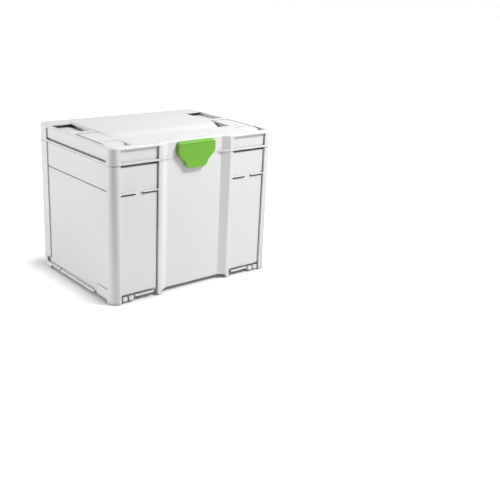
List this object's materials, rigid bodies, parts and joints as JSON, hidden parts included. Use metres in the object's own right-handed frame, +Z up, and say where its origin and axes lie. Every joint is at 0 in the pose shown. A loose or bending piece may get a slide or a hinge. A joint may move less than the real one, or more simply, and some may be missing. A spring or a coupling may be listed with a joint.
{
  "type": "stackable tool case",
  "caption": "Stackable tool case: a moulded bin with a hinged lid, a folding carry handle let into the lid and a T-shaped rotary latch.",
  "frame": {"origin": "middle of the footprint, on the surface that the case stands on", "axes": "+X to the case's right seen from the front, its longest side; +Y to the rear, where the hinges are, its shortest side; +Z up"},
  "size_m": [0.396, 0.296, 0.315],
  "materials": {
    "housing": "fine grained moulded plastic, light grey",
    "handle_plastic": "fine grained moulded plastic, light grey",
    "latch_plastic": "satin moulded plastic, green",
    "inner_plastic": "satin moulded plastic, dark grey",
    "hinge_plastic": "fine grained moulded plastic, light grey",
    "steel": "zinc plated steel"
  },
  "bodies": {
    "case": {"case_body": "housing", "hinge_bracket_left": "hinge_plastic", "hinge_bracket_right": "hinge_plastic", "hinge_pin_left": "steel", "hinge_pin_right": "steel", "hinge_screws": "steel"},
    "lid": {"lid_shell": "housing", "handle_pin_left": "steel", "handle_pin_right": "steel", "latch_bush": "inner_plastic", "latch_detent_spring": "steel", "latch_spring_screws": "steel", "latch_cover": "inner_plastic", "latch_cover_screws": "steel"},
    "handle": {"carry_handle": "handle_plastic"},
    "latch": {"latch_knob": "latch_plastic", "latch_cam": "inner_plastic", "latch_screw": "steel"}
  },
  "joints": [
    {"name": "lid_hinge", "type": "hinge", "parent": "case", "child": "lid", "pos_m": [0, 0.143, 0.28], "axis": [-1, 0, 0], "range_deg": [0, 100]},
    {"name": "handle_fold", "type": "hinge", "parent": "lid", "child": "handle", "pos_m": [0, -0.00875, 0.30775], "axis": [-1, 0, 0], "range_deg": [0, 95]},
    {"name": "latch_turn", "type": "hinge", "parent": "lid", "child": "latch", "pos_m": [0, -0.14, 0.2975], "axis": [0, 1, 0], "range_deg": [0, 180]}
  ]
}
